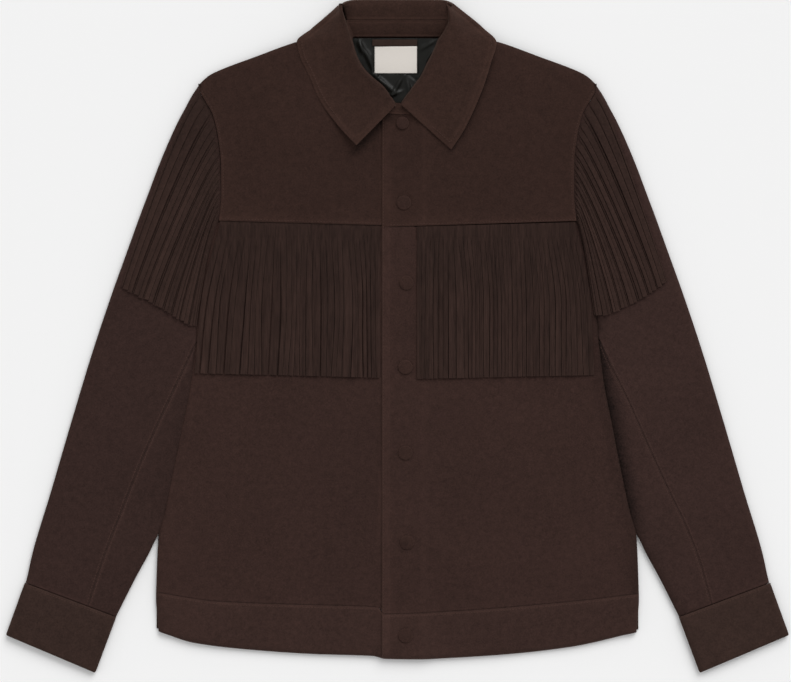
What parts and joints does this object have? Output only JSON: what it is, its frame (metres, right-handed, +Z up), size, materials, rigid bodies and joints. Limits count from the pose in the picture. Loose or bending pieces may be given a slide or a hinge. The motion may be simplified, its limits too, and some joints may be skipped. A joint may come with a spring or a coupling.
{
  "type": "suede jacket laid flat",
  "caption": "Collared suede jacket laid flat, with fringe under the yokes and along the armholes, snap front, cuffed sleeves and a hem band.",
  "frame": {"origin": "middle of the jacket's box, on the surface that its back lies on", "axes": "+X across the jacket towards its own left sleeve, the right one in the picture; +Y from the hem to the collar; +Z up, out of the front"},
  "size_m": [0.845, 0.7266, 0.0225],
  "materials": {
    "suede": "dark chocolate suede, brushed nap, matt",
    "fringe": "the same suede cut into strands, matt",
    "snap": "suede covered snap caps, matt",
    "lining": "near black satin, glossy",
    "label": "pale satin, soft sheen, blank",
    "tape": "brown woven tape, matt"
  },
  "bodies": {
    "root": {"back_panel": "suede", "hem_band_back": "suede", "front_left": "suede", "front_right": "suede", "hem_band_left": "suede", "hem_band_right": "suede", "yoke_left": "suede", "yoke_right": "suede", "top_sleeve_left": "suede", "top_sleeve_right": "suede", "under_sleeve_left": "suede", "under_sleeve_right": "suede", "cuff_left": "suede", "cuff_right": "suede", "collar_leaf_left": "suede", "collar_leaf_right": "suede", "collar_inside": "suede", "collar_fall": "suede", "collar_stand": "suede", "stand_front_end": "suede", "neck_lining": "lining", "neck_label": "label", "neck_tape": "tape", "snap_1": "snap", "snap_2": "snap", "snap_3": "snap", "snap_4": "snap", "snap_5": "snap", "snap_6": "snap", "snap_7": "snap", "chest_fringe_left": "fringe", "chest_fringe_right": "fringe", "sleeve_fringe_left": "fringe", "sleeve_fringe_right": "fringe"}
  },
  "joints": []
}
